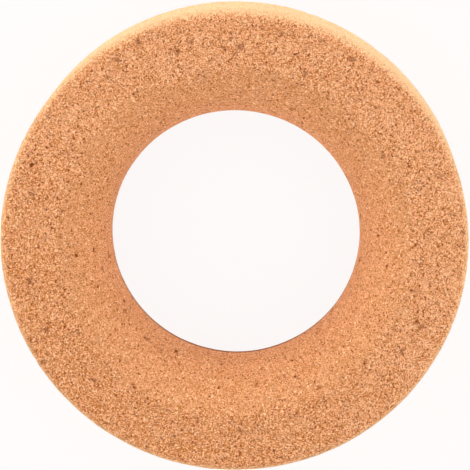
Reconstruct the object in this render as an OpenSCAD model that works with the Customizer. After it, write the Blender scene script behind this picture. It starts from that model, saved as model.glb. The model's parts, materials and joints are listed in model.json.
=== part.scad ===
// Cork ring: a bench support for round-bottom flasks, pressed from cork granules in one piece.
// The inside is a rounded bead. It narrows from the rim on top to a throat low in the hole,
// then opens again a little to the underside, so a flask touches it along one circle.
// +Z is up, the ring's axis is Z, and the underside lies in the plane Z = 0.

/* [Body] */
// Outside diameter of the ring
outer_d = 140; // [130:1:160]
// Height from the underside to the flat top
height = 30; // [30:1:40]
// Radius of the rounding along both outer edges
edge_round = 3; // [0.5:0.25:5]

/* [Seat] */
// Diameter of the throat, the narrowest place of the hole
throat_d = 75; // [70:1:80]
// Height of the throat above the underside
throat_h = 9; // [6:0.5:10]
// Width of the seat, along the radius, from the throat to its rim in the flat top
seat_w = 15.5; // [10:0.5:18]
// Radius of the soft shoulder where the seat meets the flat top
shoulder_round = 5; // [1:0.5:8]

/* [Foot] */
// How far the hole widens, along the radius, from the throat down to the underside
foot_flare = 3.5; // [1:0.25:6]
// Radius of the rounding where the hole meets the underside
foot_round = 1; // [0.4:0.1:2]

/* [Hidden] */
$fn = 180;

outer_r = outer_d / 2;
throat_r = throat_d / 2;
seat_h = height - throat_h;   // from the throat up to the flat top

// The radius of an arc that starts upright at the throat and ends run out and rise up from it
function bead_r(run, rise) = (run * run + rise * rise) / (2 * run);

// The centre of the rounding of radius r that touches both that arc and the level line at rise
function lip_centre(run, rise, r) =
    let (big = bead_r(run, rise))
    [big - sqrt(pow(big - r, 2) - pow(rise - r, 2)), rise - r];

// What one half of the bead leaves open, drawn from the throat at the origin:
// +X is away from the ring's axis and +Y is towards the face where that half ends
module bead_gap(run, rise, r) {
    big = bead_r(run, rise);
    lip = lip_centre(run, rise, r);
    aim = (lip - [big, 0]) / norm(lip - [big, 0]);   // from the arc's centre to the rounding
    reach = 2 * r;                                   // carries the wedge past the sharp corner
    difference() {
        square([run, rise]);
        translate([big, 0]) circle(r = big);
    }
    difference() {
        polygon([lip, lip + reach * aim, lip + [0, reach]]);
        translate(lip) circle(r = r);
    }
}

// What a rounding of radius r takes from a corner that points to +X and +Y, at the origin
module corner_gap(r) {
    translate([-r, -r]) difference() {
        square([2 * r, 2 * r]);
        circle(r = r);
    }
}

// One half of the ring's section, with X as the radius
module ring_section() {
    difference() {
        translate([throat_r, 0]) square([outer_r - throat_r, height]);
        translate([throat_r, throat_h]) bead_gap(seat_w, seat_h, shoulder_round);
        translate([throat_r, throat_h]) mirror([0, 1]) bead_gap(foot_flare, throat_h, foot_round);
        translate([outer_r, height]) corner_gap(edge_round);
        translate([outer_r, 0]) mirror([0, 1]) corner_gap(edge_round);
    }
}

// The ring, turned from its section
module cork_ring() {
    color([0.87, 0.61, 0.42]) rotate_extrude() ring_section();
}

cork_ring();
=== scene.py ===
"""Cork ring: the finish of a bench support for round-bottom flasks.

The ring is one closed section turned about the Z axis. Its surface is roughened the way pressed
cork is, with granules that stand a little proud of each other and small pits where one broke out,
and its material is made of the same granules. Everything is in metres. The section keeps the box
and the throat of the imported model, and the relief only goes inwards from it.
"""

import json
from math import asin, cos, hypot, pi, radians, sin, tau

import bmesh
import bpy
from bpy.props import (
    FloatProperty,
    FloatVectorProperty,
    IntProperty,
    PointerProperty,
)
from bpy.types import Operator, Panel, PropertyGroup
from mathutils import Matrix, Vector


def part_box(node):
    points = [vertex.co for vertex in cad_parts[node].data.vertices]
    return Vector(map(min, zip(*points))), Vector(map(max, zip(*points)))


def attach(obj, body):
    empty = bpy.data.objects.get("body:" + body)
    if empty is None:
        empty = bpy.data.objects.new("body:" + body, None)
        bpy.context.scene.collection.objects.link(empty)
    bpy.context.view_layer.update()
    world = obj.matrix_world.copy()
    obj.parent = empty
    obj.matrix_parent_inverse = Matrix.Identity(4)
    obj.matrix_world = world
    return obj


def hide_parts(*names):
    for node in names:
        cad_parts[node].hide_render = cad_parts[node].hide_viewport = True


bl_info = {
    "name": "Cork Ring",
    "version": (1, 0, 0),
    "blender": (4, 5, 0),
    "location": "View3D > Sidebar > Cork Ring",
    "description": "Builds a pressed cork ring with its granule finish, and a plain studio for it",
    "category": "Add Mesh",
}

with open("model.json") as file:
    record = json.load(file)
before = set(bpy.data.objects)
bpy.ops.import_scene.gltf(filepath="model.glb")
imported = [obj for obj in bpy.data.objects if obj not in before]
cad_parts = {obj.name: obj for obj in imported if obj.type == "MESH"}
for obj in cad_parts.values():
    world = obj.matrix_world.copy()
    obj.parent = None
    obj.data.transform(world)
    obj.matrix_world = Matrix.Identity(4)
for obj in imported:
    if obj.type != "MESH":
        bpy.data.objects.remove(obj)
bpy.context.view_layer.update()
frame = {"record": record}

NODE = "cork_ring"
BODY = "root"
PIECE = "cork_ring_body"
MILLIMETRE = 0.001

RING_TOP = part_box(NODE)[1]
FLASK_SEAT = next(m for m in frame["record"]["mounts"] if m["name"] == "flask_seat")

REST_PLACE = "rest_place"       # each point's place before the relief moved it
AXIS = (0, 0, 1)


# ---------------------------------------------------------------- settings


def length(name, description, default, low=0.0, high=1.0):
    """A size in metres."""
    return FloatProperty(
        name=name, description=description, default=default, min=low, max=high,
        precision=5, unit="LENGTH", subtype="DISTANCE",
    )


def share(name, description, default, high=1.0):
    """A plain share or strength, from 0 upwards."""
    return FloatProperty(name=name, description=description, default=default, min=0, max=high)


def colour(name, description, default):
    """A linear colour with its alpha."""
    return FloatVectorProperty(
        name=name, description=description, default=(*default, 1), size=4,
        min=0, max=2, subtype="COLOR",
    )


class RingSizes(PropertyGroup):
    """The ring's section and how finely it is meshed."""

    outer_r: length("Outer radius", "From the axis to the outer wall", RING_TOP.x)
    height: length("Height", "From the underside to the flat top", RING_TOP.z)
    edge_round: length("Edge rounding", "Radius along both outer edges", 0.003)
    throat_r: length(
        "Throat radius", "Radius of the narrowest place of the hole",
        FLASK_SEAT["dims"]["r_mm"] * MILLIMETRE,
    )
    throat_h: length(
        "Throat height", "Height of the throat above the underside", FLASK_SEAT["pos_m"][2]
    )
    seat_w: length("Seat width", "Along the radius, from the throat to the seat's rim", 0.0155)
    shoulder_round: length("Shoulder", "Radius where the seat meets the flat top", 0.005)
    foot_flare: length("Foot flare", "How far the hole widens below the throat", 0.0035)
    foot_round: length("Foot rounding", "Radius where the hole meets the underside", 0.001)
    face_row: length("Face rows", "Spacing of the rows on the seat and the top", 0.00042)
    wall_row: length("Wall rows", "Spacing of the rows on the outer wall", 0.0007)
    base_row: length("Base rows", "Spacing of the rows on the underside", 0.0022)
    turns: IntProperty(
        name="Steps round", description="Steps of the full turn", default=550, min=32, max=600
    )


class CorkFinish(PropertyGroup):
    """The granules of the pressed cork, as shape and as colour."""

    coarse: length("Coarse granules", "Size of the granules that show as relief", 0.0019)
    medium: length("Medium granules", "Size of the middling granules", 0.0007)
    fine: length("Fine granules", "Size of the smallest granules", 0.0002)
    fleck: length("Flecks", "Size of the bark flecks and of the pale chips", 0.00042)
    bark_share: share("Bark share", "Share of the surface in bark flecks", 0.094)
    chip_share: share("Chip share", "Share of the surface in pale chips", 0.085)
    pore: length("Pores", "Size of the few dark pores", 0.0010)
    pore_share: share("Pore share", "Share of the seat in dark pores, fewer elsewhere", 0.0050)
    # Painted shade: the flat top darkened towards one side
    shaded_side: share("Browner side", "How much darker the flat top is towards one side", 0.14)
    sway: length("Unevenness", "How far the whole surface dips between its high places", 0.00025)
    groove: length("Grooves", "Depth of the grooves between coarse granules", 0.00009)
    step: length("Steps", "Most that one coarse granule sits lower than the next", 0.00014)
    pit: length("Pits", "Depth where a granule broke out", 0.0005)
    pit_share: share("Pit share", "Share of the coarse granules that broke out", 0.045)
    seat_even: share("Seat evenness", "How much the seat's colours are drawn together", 0.24)
    seat_calm: share("Seat calm", "How much smoother the seat is than the flat top", 0.55)
    bump: length("Bump", "Height of the fine granules in the material", 0.00004)
    # Bark is also the colour of the painted shade in the pits and below the throat
    bark: colour("Bark", "Bark flecks and pores, and the tint of pits and foot", (0.19, 0.031, 0.0))
    dark: colour("Dark", "The darkest granules", (0.427, 0.112, 0.0))
    pale: colour("Pale", "The lightest granules", (1.0, 0.506, 0.268))
    chip: colour("Chip", "Small pale chips", (1.0, 0.620, 0.345))
    dull: colour("Dull", "The greyer granules", (0.47, 0.29, 0.18))
    even: colour("Even", "What the seat's colours are drawn towards", (0.46, 0.208, 0.070))
    # The outer wall's colours, partly its own paler cork and partly painted light
    side_dark: colour("Wall, dark", "The darkest granules of the outer wall", (0.59, 0.350, 0.155))
    side_pale: colour("Wall, pale", "The lightest granules of the outer wall", (0.91, 0.690, 0.395))


class StudioSettings(PropertyGroup):
    """The floor, the sky and the lamps."""

    backdrop: colour("Backdrop", "Colour of the floor and background", (1.0, 0.973, 0.965))
    floor_size: length("Floor", "Side of the square floor", 6.0, high=20.0)
    sky: share("Sky", "Strength of the sky's light from straight above", 0.874, 10)
    horizon: share("Horizon", "How much stronger the sky's light from the side is", 0.90, 10)
    table_light: share("Table light", "Strength of the light under the hole", 0.87, 10)
    front_light: share("Front light", "Strength of the soft box in front on the left", 0.18, 10)
    left_light: share("Left light", "Strength of the low soft box behind on the left", 0.51, 10)
    right_light: share("Right light", "Strength of the low soft box on the right", 0.32, 10)


# ---------------------------------------------------------------- node helpers


def put(tree, kind, inputs=None, **settings):
    """Adds a node. Each input takes a value, or the output socket that feeds it."""
    node = tree.nodes.new(kind)
    for name, value in settings.items():
        setattr(node, name, value)
    for name, value in (inputs or {}).items():
        if isinstance(value, bpy.types.NodeSocket):
            tree.links.new(value, node.inputs[name])
        else:
            node.inputs[name].default_value = value
    return node


def calc(tree, operation, *values):
    """One Math node's result."""
    return put(tree, "ShaderNodeMath", dict(enumerate(values)), operation=operation).outputs[0]


def ramp_up(tree, value, low, high):
    """0 below low, 1 above high, and a smooth rise between them."""
    node = put(
        tree, "ShaderNodeMapRange",
        {"Value": value, "From Min": low, "From Max": high},
        interpolation_type="SMOOTHSTEP",
    )
    return node.outputs["Result"]


def noise(tree, place, size, detail=2.0):
    """A soft noise about 0.5 with patches of that size."""
    node = put(
        tree, "ShaderNodeTexNoise",
        {"Vector": place, "Scale": 1 / size, "Detail": detail},
    )
    return node.outputs["Fac"]


# ---------------------------------------------------------------- granules


BEND_SCALE = 1.3                # waves of the noise that bends the cells, per cell
BEND_REACH = 0.9                # how far it bends them, in cells
COARSE_SEAM = 0.30              # widths of the seams, in cells
MEDIUM_SEAM = 0.18
FINE_SEAM = 0.16
FLECK_SEAM = 0.12

RIM_WAVE = 0.008                # size of the waves in the rim of the seat's finish
RIM_WANDER = 0.009              # span of the waves, of which the noise uses about a half
RIM_INSIDE = 0.0026             # the seat's finish starts to fade this far inside the rim
RIM_OUTSIDE = 0.0018            # and ends this far outside it
BASE_FADE = (0.0002, 0.0015)    # heights between which it takes over from the underside
SEAT_FEWER_PITS = 0.7           # share of the pits that the seat lacks


def granule_group(kind):
    """A node group that splits space into cork granules. kind is the type of node tree."""
    group = bpy.data.node_groups.new("Cork granules", kind)
    sockets = group.interface
    for name, socket in (("Place", "Vector"), ("Size", "Float"), ("Seam", "Float")):
        sockets.new_socket(name, in_out="INPUT", socket_type=f"NodeSocket{socket}")
    for name in ("Tone", "Pick", "Hue", "Body"):
        sockets.new_socket(name, in_out="OUTPUT", socket_type="NodeSocketFloat")
    given = put(group, "NodeGroupInput").outputs
    per_metre = calc(group, "DIVIDE", 1, given["Size"])
    scaled = put(
        group, "ShaderNodeVectorMath", {0: given["Place"], "Scale": per_metre}, operation="SCALE"
    ).outputs[0]
    # A noise bends the straight borders of the cells
    bend = put(
        group, "ShaderNodeTexNoise", {"Vector": scaled, "Scale": BEND_SCALE, "Detail": 1.0}
    )
    centred = put(
        group, "ShaderNodeVectorMath", {0: bend.outputs["Color"], 1: (0.5, 0.5, 0.5)},
        operation="SUBTRACT",
    ).outputs[0]
    nudge = put(
        group, "ShaderNodeVectorMath", {0: centred, "Scale": BEND_REACH}, operation="SCALE"
    ).outputs[0]
    bent = put(
        group, "ShaderNodeVectorMath", {0: scaled, 1: nudge}, operation="ADD"
    ).outputs[0]
    cell = put(group, "ShaderNodeTexVoronoi", {"Vector": bent, "Scale": 1.0})
    edge = put(
        group, "ShaderNodeTexVoronoi", {"Vector": bent, "Scale": 1.0},
        feature="DISTANCE_TO_EDGE",
    )
    random = put(group, "ShaderNodeSeparateXYZ", {0: cell.outputs["Color"]}).outputs
    body = ramp_up(group, edge.outputs["Distance"], 0.0, given["Seam"])
    out = put(group, "NodeGroupOutput").inputs
    for name, value in zip(("Tone", "Pick", "Hue", "Body"), (*random, body)):
        group.links.new(value, out[name])
    return group


def granules(tree, group, place, size, seam):
    """Places the granule group and returns its outputs."""
    kind = "GeometryNodeGroup" if tree.type == "GEOMETRY" else "ShaderNodeGroup"
    node = put(tree, kind, node_tree=group)
    tree.links.new(place, node.inputs["Place"])
    node.inputs["Size"].default_value = size
    node.inputs["Seam"].default_value = seam
    return node.outputs


def seat_mask(tree, place, sizes):
    """1 on the seat and inside the hole, 0 elsewhere, and the distance from the axis."""
    rim_r = sizes.throat_r + sizes.seat_w
    rise = put(tree, "ShaderNodeSeparateXYZ", {0: place}).outputs["Z"]
    flat = put(
        tree, "ShaderNodeVectorMath", {0: place, 1: (1, 1, 0)}, operation="MULTIPLY"
    ).outputs[0]
    from_axis = put(
        tree, "ShaderNodeVectorMath", {0: flat}, operation="LENGTH"
    ).outputs["Value"]
    wave = calc(tree, "SUBTRACT", noise(tree, place, RIM_WAVE), 0.5)
    wavy = calc(tree, "MULTIPLY_ADD", wave, RIM_WANDER, from_axis)
    outside = ramp_up(tree, wavy, rim_r - RIM_INSIDE, rim_r + RIM_OUTSIDE)
    above_base = ramp_up(tree, rise, *BASE_FADE)
    inside = calc(tree, "SUBTRACT", 1, outside)
    return calc(tree, "MULTIPLY", inside, above_base), from_axis


def pit_mask(tree, coarse, finish, seat):
    """1 in the middle of a pit, 0 on sound cork. Pits are fewer on the seat."""
    fewer = calc(tree, "MULTIPLY", seat, SEAT_FEWER_PITS * finish.pit_share)
    limit = calc(tree, "SUBTRACT", finish.pit_share, fewer)
    broken_out = calc(tree, "LESS_THAN", coarse["Pick"], limit)
    return calc(tree, "MULTIPLY", broken_out, coarse["Body"])


# ---------------------------------------------------------------- shape


SWAY_SIZE = 0.022               # size of the dips in the whole surface
WELD = 1e-6                     # points closer than this are one


def bead_radius(run, rise):
    """Radius of an arc that starts upright and ends run out and rise up from its start."""
    return (run * run + rise * rise) / (2 * run)


def bead_angle(run, rise, lip):
    """Angle of that arc up to the rounding of radius lip that ends it."""
    return asin((rise - lip) / (bead_radius(run, rise) - lip))


def turn(bm, tip, centre, angle, row):
    """Draws an arc on from the vertex tip, clockwise in the XZ plane, and returns its end."""
    reach = hypot(tip.co.x - centre[0], tip.co.z - centre[1])
    made = bmesh.ops.spin(
        bm, geom=[tip], cent=(centre[0], 0, centre[1]), axis=(0, 1, 0), angle=angle,
        steps=max(2, round(reach * angle / row)),
    )
    return next(v for v in made["geom_last"] if isinstance(v, bmesh.types.BMVert))


def run_to(bm, tip, x, z, row):
    """Draws a straight run on from the vertex tip to x, z, and returns its end."""
    move = Vector((x, 0, z)) - tip.co
    steps = max(1, round(move.length / row))
    for _ in range(steps):
        tip = bmesh.ops.extrude_vert_indiv(bm, verts=[tip])["verts"][0]
        bmesh.ops.translate(bm, verts=[tip], vec=move / steps)
    return tip


def draw_section(bm, s):
    """Draws the ring's closed section, from the throat over the top and back below."""
    seat_rise = s.height - s.throat_h
    bead = bead_radius(s.seat_w, seat_rise)
    seat_turn = bead_angle(s.seat_w, seat_rise, s.shoulder_round)
    foot = bead_radius(s.foot_flare, s.throat_h)
    foot_turn = bead_angle(s.foot_flare, s.throat_h, s.foot_round)
    edge_x = s.outer_r - s.edge_round
    tip = bm.verts.new((s.throat_r, 0, s.throat_h))
    tip = turn(bm, tip, (s.throat_r + bead, s.throat_h), seat_turn, s.face_row)
    shoulder_x = tip.co.x + s.shoulder_round * cos(seat_turn)
    shoulder = (shoulder_x, s.height - s.shoulder_round)
    tip = turn(bm, tip, shoulder, pi / 2 - seat_turn, s.face_row)
    tip = run_to(bm, tip, edge_x, s.height, s.face_row)
    tip = turn(bm, tip, (edge_x, s.height - s.edge_round), pi / 2, s.face_row)
    tip = run_to(bm, tip, s.outer_r, s.edge_round, s.wall_row)
    tip = turn(bm, tip, (edge_x, s.edge_round), pi / 2, s.wall_row)
    rim = foot - s.foot_round
    foot_x = s.throat_r + foot - rim * cos(foot_turn)
    tip = run_to(bm, tip, foot_x, 0, s.base_row)
    tip = turn(bm, tip, (foot_x, s.foot_round), pi / 2 - foot_turn, s.wall_row)
    turn(bm, tip, (s.throat_r + foot, s.throat_h), foot_turn, s.wall_row)
    bmesh.ops.remove_doubles(bm, verts=bm.verts[:], dist=WELD)


def ring_mesh(s):
    """The smooth ring: the section turned once about the axis."""
    bm = bmesh.new()
    draw_section(bm, s)
    bmesh.ops.spin(
        bm, geom=bm.verts[:] + bm.edges[:], cent=(0, 0, 0), axis=AXIS, angle=tau,
        steps=s.turns, use_merge=True,
    )
    bmesh.ops.recalc_face_normals(bm, faces=bm.faces[:])
    for face in bm.faces:
        face.smooth = True
    closed = all(edge.is_manifold for edge in bm.edges)
    volume = bm.calc_volume(signed=True)
    mesh = bpy.data.meshes.new(PIECE)
    bm.to_mesh(mesh)
    bm.free()
    if not closed or volume <= 0:
        raise RuntimeError(f"the turned section isn't a closed solid: volume {volume}")
    return mesh


def relief_tree(s, f):
    """Geometry nodes that press the granules, grooves and pits into the surface."""
    tree = bpy.data.node_groups.new("Cork relief", "GeometryNodeTree")
    for way in ("INPUT", "OUTPUT"):
        tree.interface.new_socket("Geometry", in_out=way, socket_type="NodeSocketGeometry")
    given = put(tree, "NodeGroupInput").outputs["Geometry"]
    place = put(tree, "GeometryNodeInputPosition").outputs[0]
    kept = put(
        tree, "GeometryNodeStoreNamedAttribute",
        {"Geometry": given, "Name": REST_PLACE, "Value": place},
        data_type="FLOAT_VECTOR", domain="POINT",
    ).outputs["Geometry"]
    group = granule_group("GeometryNodeTree")
    coarse = granules(tree, group, place, f.coarse, COARSE_SEAM)
    seat, _ = seat_mask(tree, place, s)
    calm = calc(tree, "MULTIPLY", seat, f.seat_calm)
    pits = calc(tree, "MULTIPLY", pit_mask(tree, coarse, f, seat), f.pit)
    grooves = calc(tree, "MULTIPLY", calc(tree, "SUBTRACT", 1, coarse["Body"]), f.groove)
    steps = calc(tree, "MULTIPLY", coarse["Tone"], f.step)
    steps = calc(tree, "MULTIPLY", steps, coarse["Body"])
    grain = calc(tree, "ADD", grooves, steps)
    grain = calc(tree, "MULTIPLY", grain, calc(tree, "SUBTRACT", 1, calm))
    sway = calc(tree, "MULTIPLY", noise(tree, place, SWAY_SIZE, 1.0), f.sway)
    depth = calc(tree, "ADD", calc(tree, "ADD", grain, pits), sway)
    inwards = calc(tree, "MULTIPLY", depth, -1)
    normal = put(tree, "GeometryNodeInputNormal").outputs[0]
    offset = put(
        tree, "ShaderNodeVectorMath", {0: normal, "Scale": inwards}, operation="SCALE"
    ).outputs[0]
    moved = put(tree, "GeometryNodeSetPosition", {"Geometry": kept, "Offset": offset})
    put(tree, "NodeGroupOutput", {"Geometry": moved.outputs[0]})
    return tree


def press_relief(piece, tree):
    """Runs the relief nodes on the piece once and keeps the result as its mesh."""
    relief = piece.modifiers.new("Relief", "NODES")
    relief.node_group = tree
    depsgraph = bpy.context.evaluated_depsgraph_get()
    pressed = bpy.data.meshes.new_from_object(piece.evaluated_get(depsgraph))
    piece.modifiers.clear()
    smooth = piece.data
    piece.data = pressed
    bpy.data.meshes.remove(smooth)


# ---------------------------------------------------------------- material


COARSE_TONE = 0.10              # how strongly the granules of each size vary in tone
MEDIUM_TONE = 0.24
FINE_TONE = 1.6
PATCH_TONE = 0.15               # the same for patches of many granules
PATCH_SIZE = 0.006
SHADE_SIDE_TURN = radians(236)       # the side where the flat top has painted shade, from +X
SHADE_SIDE_FADE = (-0.02, 0.06)      # distances towards that side between which it sets in
DULL_HUE = (0.6, 0.9)           # the coarse granules' hues between which they turn grey
DULL_TINT = 0.09
# share of the bark colour painted into the pits as shade
PIT_SHADE = 0.4
SEAT_LESS_BARK = 0.42           # shares of the flecks and chips that the seat lacks
SEAT_LESS_CHIPS = 0.75
FLAT_PORES = 0.3                # share of the seat's pores that the rest has
FLECK_TINT = 0.95

# The outer wall's paler colour: partly the wall's own cork, partly painted light, painted lightest
# towards its foot
WALL_TINT = 0.75                # how much of the paler colour, partly painted light, the wall has at its foot
EDGE_TINT = 0.4                 # and how much it has just below the top edge
EDGE_FADE = (-0.0014, 0.0001)   # heights above the flat top between which each sets in
WALL_FADE = (-0.012, -0.0005)
EDGE_FULL = 0.4                 # outer share of the edge's rounding that takes all of it

# Painted shade inside the hole below the throat, darkest just under it
LIP_FADE = (-0.0004, 0.0007)    # heights above the throat between which the foot's painted shade ends
FOOT_REACH = 0.007              # that painted shade ends this far outside the throat
LIP_HEIGHTS = (0.003, 0.007)    # heights between which the painted shade deepens
FOOT_SHADE = 0.35
LIP_SHADE = 0.5                  # how much deeper the painted shade is up under the throat

FINE_BUMP = 0.5                 # weight of each of the fine granules' two values in the bump
CALM_BUMP = 0.5                 # share of the seat's calm that the bump takes on
ROUGH_LEAST = 0.78
ROUGH_RANGE = 0.18
SHINE = 0.2


def blend_colours(tree, share_of_b, a, b):
    """One Mix node's colour."""
    node = put(tree, "ShaderNodeMix", {0: share_of_b, 6: a, 7: b}, data_type="RGBA")
    return node.outputs[2]


def granule_tone(tree, place, weights, seat, shaded_side):
    """How light each spot is, about 0.5, with painted shade on one side of the flat top. weights
    has pairs of a size of granules and a weight.
    """
    tone = 0.5
    for grain, weight in weights:
        swing = calc(tree, "MULTIPLY", calc(tree, "SUBTRACT", grain["Tone"], 0.5), weight)
        tone = calc(tree, "ADD", tone, swing)
    patches = calc(tree, "SUBTRACT", noise(tree, place, PATCH_SIZE), 0.5)
    tone = calc(tree, "ADD", tone, calc(tree, "MULTIPLY", patches, PATCH_TONE))
    # Painted shade: the flat top darker towards one side
    shade_way = (cos(SHADE_SIDE_TURN), sin(SHADE_SIDE_TURN), 0)
    along = put(
        tree, "ShaderNodeVectorMath", {0: place, 1: shade_way}, operation="DOT_PRODUCT"
    ).outputs["Value"]
    flat = calc(tree, "SUBTRACT", 1, seat)
    side_shade = calc(tree, "MULTIPLY", ramp_up(tree, along, *SHADE_SIDE_FADE), flat)
    return calc(tree, "MULTIPLY_ADD", side_shade, -shaded_side, tone)


def add_flecks(tree, cork, place, group, seat, f):
    """Bark flecks, pale chips and dark pores over the cork's colour."""
    fleck = granules(tree, group, place, f.fleck, FLECK_SEAM)
    barks = calc(tree, "MULTIPLY_ADD", seat, -SEAT_LESS_BARK * f.bark_share, f.bark_share)
    chips = calc(tree, "MULTIPLY_ADD", seat, -SEAT_LESS_CHIPS * f.chip_share, f.chip_share)
    bark = calc(tree, "LESS_THAN", fleck["Pick"], barks)
    chip = calc(tree, "LESS_THAN", fleck["Hue"], chips)
    hollow = granules(tree, group, place, f.pore, FLECK_SEAM)
    on_flat = FLAT_PORES * f.pore_share
    pores = calc(tree, "MULTIPLY_ADD", seat, f.pore_share - on_flat, on_flat)
    pore = calc(tree, "LESS_THAN", hollow["Pick"], pores)
    for kind, grain, tint in (
        (bark, fleck, f.bark), (chip, fleck, f.chip), (pore, hollow, f.bark)
    ):
        shown = calc(tree, "MULTIPLY", calc(tree, "MULTIPLY", kind, grain["Body"]), FLECK_TINT)
        cork = blend_colours(tree, shown, cork, tint)
    return cork


def add_pale_wall_and_light(tree, cork, tone, from_axis, rise, s, f):
    """The outer wall's paler colour, partly its own cork and partly painted light, most of all
    towards its foot.
    """
    above_top = calc(tree, "SUBTRACT", rise, RING_TOP.z)
    edge = ramp_up(tree, above_top, *EDGE_FADE)
    edge = calc(tree, "MULTIPLY_ADD", edge, -EDGE_TINT, WALL_TINT)
    wall = ramp_up(tree, above_top, *WALL_FADE)
    wall = calc(tree, "MULTIPLY_ADD", wall, EDGE_TINT - WALL_TINT, edge)
    outside = ramp_up(
        tree, from_axis, s.outer_r - s.edge_round, s.outer_r - EDGE_FULL * s.edge_round
    )
    wall_colour_and_light = blend_colours(tree, tone, f.side_dark, f.side_pale)
    return blend_colours(tree, calc(tree, "MULTIPLY", wall, outside), cork, wall_colour_and_light)


def add_foot_shade(tree, cork, from_axis, rise, s, tint):
    """Painted shade: the inside of the hole below the throat darkened, deepest just under it."""
    upper = ramp_up(tree, rise, s.throat_h + LIP_FADE[0], s.throat_h + LIP_FADE[1])
    outer = ramp_up(tree, from_axis, s.throat_r + s.foot_flare, s.throat_r + FOOT_REACH)
    foot = calc(tree, "SUBTRACT", 1, calc(tree, "MAXIMUM", upper, outer))
    deeper = ramp_up(tree, rise, *LIP_HEIGHTS)
    shade_under_lip = calc(tree, "MULTIPLY_ADD", deeper, LIP_SHADE, FOOT_SHADE)
    return blend_colours(tree, calc(tree, "MULTIPLY", foot, shade_under_lip), cork, tint)


def cork_shader(tree, cork, medium, fine, seat, f):
    """Matt and rough, with the finer granules as a bump that is weaker on the seat."""
    calm = calc(tree, "SUBTRACT", 1, calc(tree, "MULTIPLY", seat, CALM_BUMP * f.seat_calm))
    height = calc(tree, "MULTIPLY", calc(tree, "ADD", fine["Body"], fine["Hue"]), FINE_BUMP)
    height = calc(tree, "ADD", height, medium["Body"])
    height = calc(tree, "MULTIPLY", height, calm)
    bump = put(tree, "ShaderNodeBump", {"Height": height, "Distance": f.bump, "Strength": 1.0})
    roughness = calc(tree, "MULTIPLY_ADD", medium["Hue"], ROUGH_RANGE, ROUGH_LEAST)
    shader = put(
        tree, "ShaderNodeBsdfPrincipled",
        {
            "Base Color": cork, "Roughness": roughness, "Specular IOR Level": SHINE,
            "Normal": bump.outputs["Normal"],
        },
    )
    put(tree, "ShaderNodeOutputMaterial", {"Surface": shader.outputs[0]})


def cork_material(s, f):
    """Pressed cork: granules of three sizes, bark flecks, pale chips, pores and pits, with painted
    shade in the pits, below the throat and towards one side of the top, and a paler wall that is
    partly painted light.
    """
    material = bpy.data.materials.new("Pressed cork")
    material.use_nodes = True
    tree = material.node_tree
    tree.nodes.clear()
    place = put(
        tree, "ShaderNodeAttribute", attribute_type="GEOMETRY", attribute_name=REST_PLACE
    ).outputs["Vector"]
    group = granule_group("ShaderNodeTree")
    coarse = granules(tree, group, place, f.coarse, COARSE_SEAM)
    medium = granules(tree, group, place, f.medium, MEDIUM_SEAM)
    fine = granules(tree, group, place, f.fine, FINE_SEAM)
    weights = (coarse, COARSE_TONE), (medium, MEDIUM_TONE), (fine, FINE_TONE)
    seat, from_axis = seat_mask(tree, place, s)
    rise = put(tree, "ShaderNodeSeparateXYZ", {0: place}).outputs["Z"]

    tone = granule_tone(tree, place, weights, seat, f.shaded_side)
    cork = blend_colours(tree, tone, f.dark, f.pale)
    cork = blend_colours(tree, calc(tree, "MULTIPLY", seat, f.seat_even), cork, f.even)
    dull = ramp_up(tree, coarse["Hue"], *DULL_HUE)
    cork = blend_colours(tree, calc(tree, "MULTIPLY", dull, DULL_TINT), cork, f.dull)
    # Painted shade in the pits that the relief presses in
    pits = pit_mask(tree, coarse, f, seat)
    cork = blend_colours(tree, calc(tree, "MULTIPLY", pits, PIT_SHADE), cork, f.bark)
    cork = add_flecks(tree, cork, place, group, seat, f)
    cork = add_pale_wall_and_light(tree, cork, tone, from_axis, rise, s, f)
    # Painted shade below the throat
    cork = add_foot_shade(tree, cork, from_axis, rise, s, f.bark)
    cork_shader(tree, cork, medium, fine, seat, f)
    return material


# ---------------------------------------------------------------- studio


CAMERA_TILT = radians(11.2)        # from straight above
CAMERA_TURN = radians(81.3)        # the side that it leans to, counted from +X
CAMERA_FROM_TOP = 0.790            # distance to the middle of the flat top
CAMERA_AIM = (0.00038, 0.00301, 0.02943)
CAMERA_LENS = 203.7                # millimetres, as the sensor is
CAMERA_SENSOR = 36.0
STRAIGHT_DOWN = 0.9                # a steeper view than this has its top towards +Y

LAMP_DISTANCE = 1.0
LAMPS = (                          # name, turn from +X, lift above the floor, width, height
    ("front_light", radians(222), radians(20), 0.5, 0.5),
    ("left_light", radians(124), radians(8), 0.35, 0.2),
    ("right_light", radians(20), radians(8), 0.35, 0.2),
)
TABLE_LIFT = 0.0004                # the lamp under the hole lies just above the floor
TABLE_SIDE = 0.09                  # its corners end under the ring
FLOOR_GREY = (0.9, 0.9, 0.9, 1)
FLOOR_PLAIN = 0.92                 # share of the floor's look that takes no shadow


def aim(obj, place, target):
    """Puts a lamp or camera at place, looking at target with its top towards +Z or +Y."""
    back = (Vector(place) - Vector(target)).normalized()
    upright = Vector((0, 1, 0)) if abs(back.z) > STRAIGHT_DOWN else Vector((0, 0, 1))
    right = upright.cross(back).normalized()
    obj.matrix_world = Matrix.Translation(place) @ Matrix(
        (right, back.cross(right), back)
    ).transposed().to_4x4()


def around(turn_angle, lift, distance):
    """The point at that distance, turned from +X and lifted above the floor."""
    return Vector((cos(turn_angle) * cos(lift), sin(turn_angle) * cos(lift), sin(lift))) * distance


def soft_box(name, place, target, width, height, radiance):
    """An area lamp whose face has that radiance."""
    light = bpy.data.lights.new(name, "AREA")
    light.shape = "RECTANGLE"
    light.size = width
    light.size_y = height
    light.energy = radiance * pi * width * height
    lamp = bpy.data.objects.new(name, light)
    lamp.visible_camera = False
    bpy.context.scene.collection.objects.link(lamp)
    aim(lamp, place, target)


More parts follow.
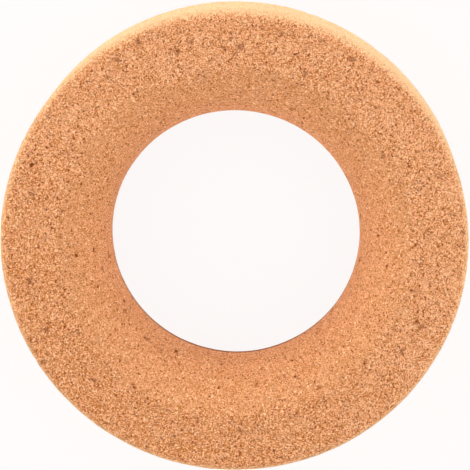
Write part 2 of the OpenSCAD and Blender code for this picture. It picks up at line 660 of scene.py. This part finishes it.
def make_lamps(studio):
    """The soft boxes round the ring, and the lamp under its hole.

    A box of strength 1 makes a white surface that faces it just white.
    """
    middle = Vector((0, 0, RING_TOP.z / 2))
    for name, turned, lift, width, height in LAMPS:
        place = around(turned, lift, LAMP_DISTANCE)
        radiance = getattr(studio, name) * pi * LAMP_DISTANCE ** 2 / (width * height)
        soft_box(name, place, middle, width, height, radiance)
    # It ends under the ring, so none of its light passes outside the wall
    table = Vector((0, 0, TABLE_LIFT))
    above = table + Vector((0, 0, 1))
    soft_box("table_light", table, above, TABLE_SIDE, TABLE_SIDE, studio.table_light)


def floor_material(backdrop):
    """Pale and matt. Seen directly it is near the backdrop's colour, with a faint shadow."""
    material = bpy.data.materials.new("Pale floor")
    material.use_nodes = True
    tree = material.node_tree
    tree.nodes.clear()
    matt = put(tree, "ShaderNodeBsdfDiffuse", {"Color": FLOOR_GREY})
    white = put(tree, "ShaderNodeEmission", {"Color": backdrop, "Strength": 1.0})
    seen = put(tree, "ShaderNodeLightPath").outputs["Is Camera Ray"]
    mix = put(
        tree, "ShaderNodeMixShader",
        {0: calc(tree, "MULTIPLY", seen, FLOOR_PLAIN), 1: matt.outputs[0], 2: white.outputs[0]},
    )
    put(tree, "ShaderNodeOutputMaterial", {"Surface": mix.outputs[0]})
    return material


def make_world(backdrop, sky, horizon):
    """Soft light from all round, stronger from the side. Seen directly it is the backdrop."""
    world = bpy.data.worlds.new("Studio")
    bpy.context.scene.world = world
    world.use_nodes = True
    tree = world.node_tree
    tree.nodes.clear()
    direction = put(tree, "ShaderNodeTexCoord").outputs["Generated"]
    rise = put(tree, "ShaderNodeSeparateXYZ", {0: direction}).outputs["Z"]
    lowness = calc(tree, "POWER", calc(tree, "SUBTRACT", 1, rise), 2)
    strength = calc(tree, "MULTIPLY_ADD", lowness, horizon, sky)
    light = put(tree, "ShaderNodeBackground", {"Color": (1, 1, 1, 1), "Strength": strength})
    seen = put(tree, "ShaderNodeBackground", {"Color": backdrop, "Strength": 1.0})
    ray = put(tree, "ShaderNodeLightPath").outputs["Is Camera Ray"]
    mix = put(
        tree, "ShaderNodeMixShader", {0: ray, 1: light.outputs[0], 2: seen.outputs[0]}
    )
    put(tree, "ShaderNodeOutputWorld", {"Surface": mix.outputs[0]})


def make_camera():
    """The camera, almost straight above the ring."""
    data = bpy.data.cameras.new("Camera")
    data.sensor_width = CAMERA_SENSOR
    data.lens = CAMERA_LENS
    camera = bpy.data.objects.new("Camera", data)
    bpy.context.scene.collection.objects.link(camera)
    top = Vector((0, 0, RING_TOP.z))
    place = top + around(CAMERA_TURN, pi / 2 - CAMERA_TILT, CAMERA_FROM_TOP)
    aim(camera, place, CAMERA_AIM)
    bpy.context.scene.camera = camera


# ---------------------------------------------------------------- operators


class CORKRING_OT_ring(Operator):
    """Build the cork ring with its relief and its material"""

    bl_idname = "corkring.ring"
    bl_label = "Build Ring"
    bl_options = {"REGISTER", "UNDO"}

    def execute(self, context):
        sizes = context.scene.cork_ring_sizes
        finish = context.scene.cork_ring_finish
        piece = bpy.data.objects.new(PIECE, ring_mesh(sizes))
        context.scene.collection.objects.link(piece)
        press_relief(piece, relief_tree(sizes, finish))
        piece.data.materials.clear()
        piece.data.materials.append(cork_material(sizes, finish))
        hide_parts(NODE)
        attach(piece, BODY)
        return {"FINISHED"}


class CORKRING_OT_stage(Operator):
    """Build the floor, the lamps, the world and the camera"""

    bl_idname = "corkring.stage"
    bl_label = "Build Stage"
    bl_options = {"REGISTER", "UNDO"}

    def execute(self, context):
        studio = context.scene.cork_ring_studio
        backdrop = tuple(studio.backdrop)
        bm = bmesh.new()
        bmesh.ops.create_grid(bm, x_segments=1, y_segments=1, size=studio.floor_size / 2)
        mesh = bpy.data.meshes.new("floor")
        bm.to_mesh(mesh)
        bm.free()
        floor = bpy.data.objects.new("floor", mesh)
        context.scene.collection.objects.link(floor)
        mesh.materials.append(floor_material(backdrop))
        make_world(backdrop, studio.sky, studio.horizon)
        make_lamps(studio)
        make_camera()
        context.scene.view_settings.view_transform = "Standard"
        return {"FINISHED"}


class CORKRING_PT_panel(Panel):
    """The ring's sizes and finish, and the stage's light"""

    bl_idname = "CORKRING_PT_panel"
    bl_label = "Cork Ring"
    bl_space_type = "VIEW_3D"
    bl_region_type = "UI"
    bl_category = "Cork Ring"

    def draw(self, context):
        for title, settings in (
            ("Sizes", context.scene.cork_ring_sizes),
            ("Finish", context.scene.cork_ring_finish),
            ("Studio", context.scene.cork_ring_studio),
        ):
            box = self.layout.box()
            box.label(text=title)
            for name in settings.__annotations__:
                box.prop(settings, name)
        self.layout.operator(CORKRING_OT_ring.bl_idname)
        self.layout.operator(CORKRING_OT_stage.bl_idname)


CLASSES = (
    RingSizes,
    CorkFinish,
    StudioSettings,
    CORKRING_OT_ring,
    CORKRING_OT_stage,
    CORKRING_PT_panel,
)


def register():
    for cls in CLASSES:
        bpy.utils.register_class(cls)
    bpy.types.Scene.cork_ring_sizes = PointerProperty(type=RingSizes)
    bpy.types.Scene.cork_ring_finish = PointerProperty(type=CorkFinish)
    bpy.types.Scene.cork_ring_studio = PointerProperty(type=StudioSettings)


def unregister():
    del bpy.types.Scene.cork_ring_studio
    del bpy.types.Scene.cork_ring_finish
    del bpy.types.Scene.cork_ring_sizes
    for cls in reversed(CLASSES):
        bpy.utils.unregister_class(cls)


def main():
    register()
    bpy.ops.corkring.ring()
    bpy.ops.corkring.stage()


if __name__ == "__main__":
    main()
